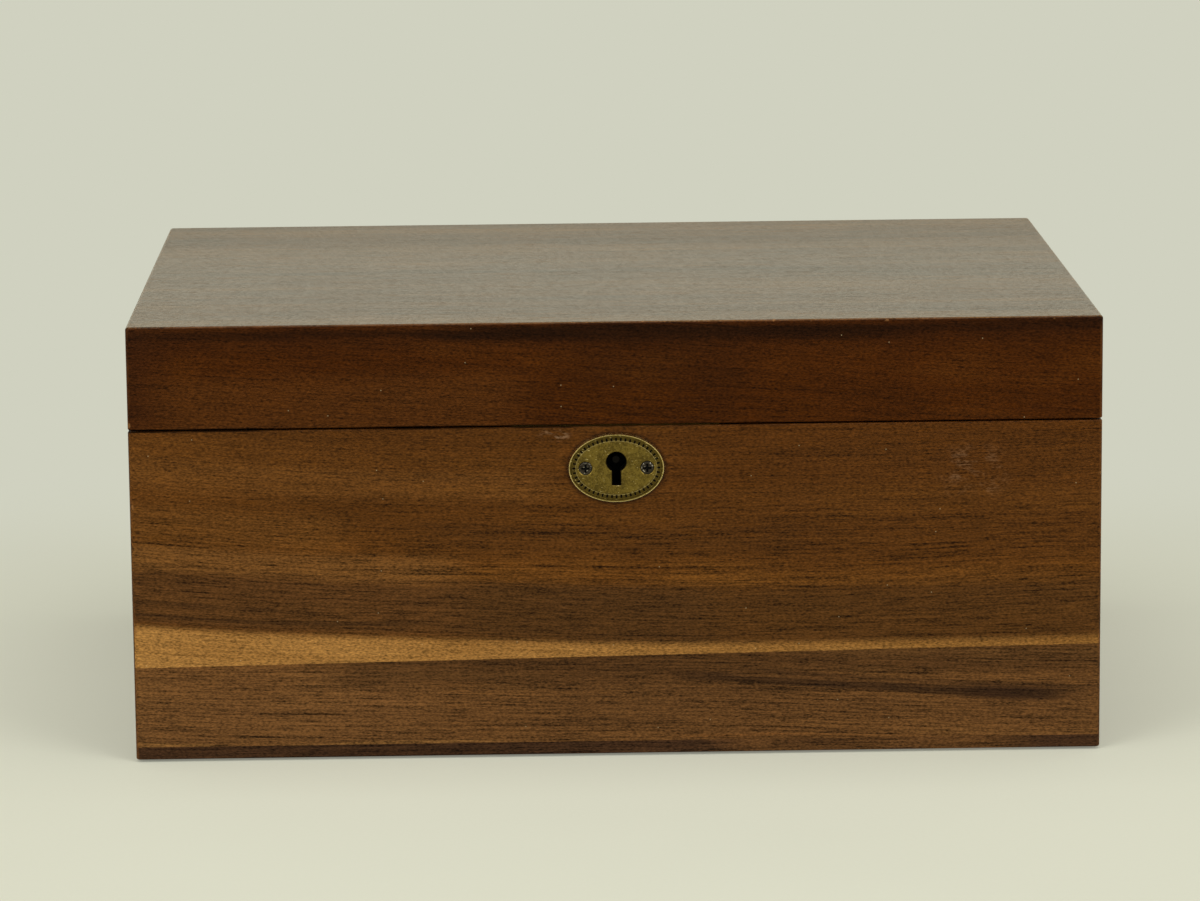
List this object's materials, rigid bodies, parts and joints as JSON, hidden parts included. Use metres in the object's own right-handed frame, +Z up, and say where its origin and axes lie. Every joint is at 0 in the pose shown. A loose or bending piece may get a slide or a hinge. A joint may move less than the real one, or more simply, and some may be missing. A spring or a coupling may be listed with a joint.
{
  "type": "hinged wooden box",
  "caption": "Rectangular hinged wooden box with mitred walls, a mortised lock behind an oval brass keyhole plate, and stop hinges at the back.",
  "frame": {"origin": "middle of the footprint, on the plane that the base felt rests on", "axes": "+X to the right seen from the keyhole side, +Y to the hinged back, +Z up"},
  "size_m": [0.3, 0.2241, 0.1368],
  "materials": {
    "walnut_front": "satin",
    "walnut_body": "satin",
    "walnut_lid": "satin",
    "plywood": "matte",
    "felt": "matte",
    "brass": "satin",
    "antique_brass": "satin",
    "steel": "satin",
    "bronzed_steel": "satin"
  },
  "bodies": {
    "box": {"front_upper_stave": "walnut_front", "front_lower_stave": "walnut_front", "front_bottom_stave": "walnut_front", "back_wall": "walnut_body", "left_wall": "walnut_body", "right_wall": "walnut_body", "bottom_panel": "plywood", "floor_lining": "felt", "base_felt": "felt", "left_hinge_body_leaf": "brass", "left_hinge_pin": "steel", "right_hinge_body_leaf": "brass", "right_hinge_pin": "steel", "lock_plate": "brass", "lock_case": "steel", "key_pin": "steel", "lock_spring": "steel", "escutcheon": "antique_brass", "hinge_body_screws": "brass", "lock_screws": "brass", "escutcheon_screws": "bronzed_steel"},
    "lid": {"lid_front_rail": "walnut_lid", "lid_back_rail": "walnut_lid", "lid_left_rail": "walnut_lid", "lid_right_rail": "walnut_lid", "lid_top": "walnut_lid", "left_hinge_lid_leaf": "brass", "right_hinge_lid_leaf": "brass", "hinge_lid_screws": "brass", "strike_plate": "brass", "strike_screws": "brass"},
    "bolt": {"lock_bolt": "brass"}
  },
  "joints": [
    {"name": "lid_hinge", "type": "hinge", "parent": "box", "child": "lid", "pos_m": [0, 0.11, 0.10455], "axis": [-1, 0, 0], "range_deg": [0, 95]},
    {"name": "bolt_slide", "type": "slide", "parent": "box", "child": "bolt", "axis": [1, 0, 0], "range_m": [0, 0.004]}
  ]
}
